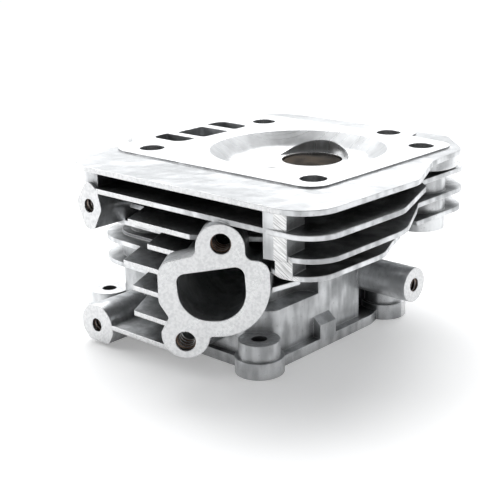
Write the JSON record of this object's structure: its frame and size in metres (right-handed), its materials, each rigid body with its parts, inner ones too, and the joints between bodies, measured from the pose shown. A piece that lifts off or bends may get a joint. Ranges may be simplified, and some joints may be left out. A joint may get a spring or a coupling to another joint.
{
  "type": "engine cylinder head",
  "caption": "Finned aluminium cylinder head of an air-cooled engine, with valves, springs and rocker arms, lying on its rocker cover face.",
  "frame": {"origin": "centre of the four head bolts on the gasket face", "axes": "+Z out of the gasket face, -Y towards the exhaust side, -X towards the pushrod windows"},
  "size_m": [0.1532, 0.166, 0.08],
  "materials": {
    "cast_aluminium": "bare die casting, machined on its faces",
    "seat_steel": "ground sintered steel",
    "guide_iron": "reamed cast iron",
    "valve_steel": "ground heat-resisting steel",
    "spring_steel": "oil-tempered spring wire",
    "hard_steel": "hardened and phosphated",
    "zinc_steel": "zinc plated",
    "seal_rubber": "moulded oil-proof rubber"
  },
  "bodies": {
    "head": {"exhaust_adjuster_nut": "zinc_steel", "exhaust_rocker_pivot": "hard_steel", "exhaust_rocker_stud": "zinc_steel", "exhaust_spring_seat": "zinc_steel", "exhaust_valve_guide": "guide_iron", "exhaust_valve_seat": "seat_steel", "exhaust_valve_spring": "spring_steel", "head_casting": "cast_aluminium", "intake_adjuster_nut": "zinc_steel", "intake_rocker_pivot": "hard_steel", "intake_rocker_stud": "zinc_steel", "intake_spring_seat": "zinc_steel", "intake_stem_seal": "seal_rubber", "intake_valve_guide": "guide_iron", "intake_valve_seat": "seat_steel", "intake_valve_spring": "spring_steel", "pushrod_guide_plate": "zinc_steel"},
    "intake_valve_set": {"intake_valve": "valve_steel", "intake_spring_retainer": "hard_steel", "intake_valve_collets": "hard_steel"},
    "intake_rocker": {"intake_rocker_arm": "hard_steel"},
    "exhaust_valve_set": {"exhaust_valve": "valve_steel", "exhaust_spring_retainer": "hard_steel", "exhaust_valve_collets": "hard_steel"},
    "exhaust_rocker": {"exhaust_rocker_arm": "hard_steel"}
  },
  "joints": [
    {"name": "intake_valve_lift", "type": "slide", "parent": "head", "child": "intake_valve_set", "axis": [0, 0, 1], "range_m": [0, 0.0065], "stiffness_N_per_m": 2000, "springref_m": -0.004, "deforming": ["intake_valve_spring"]},
    {"name": "intake_rocker_hinge", "type": "hinge", "parent": "head", "child": "intake_rocker", "pos_m": [-0.0261, 0.0188, -0.074], "axis": [0, -1, 0], "range_deg": [0, 14.5]},
    {"name": "exhaust_valve_lift", "type": "slide", "parent": "head", "child": "exhaust_valve_set", "axis": [0, 0, 1], "range_m": [0, 0.0065], "stiffness_N_per_m": 2000, "springref_m": -0.004, "deforming": ["exhaust_valve_spring"]},
    {"name": "exhaust_rocker_hinge", "type": "hinge", "parent": "head", "child": "exhaust_rocker", "pos_m": [-0.0261, -0.0157, -0.074], "axis": [0, -1, 0], "range_deg": [0, 14.5]}
  ],
  "couplings": [
    {"joint": "intake_rocker_hinge", "follows": "intake_valve_lift", "rad_per_m": 38},
    {"joint": "exhaust_rocker_hinge", "follows": "exhaust_valve_lift", "rad_per_m": 38}
  ]
}
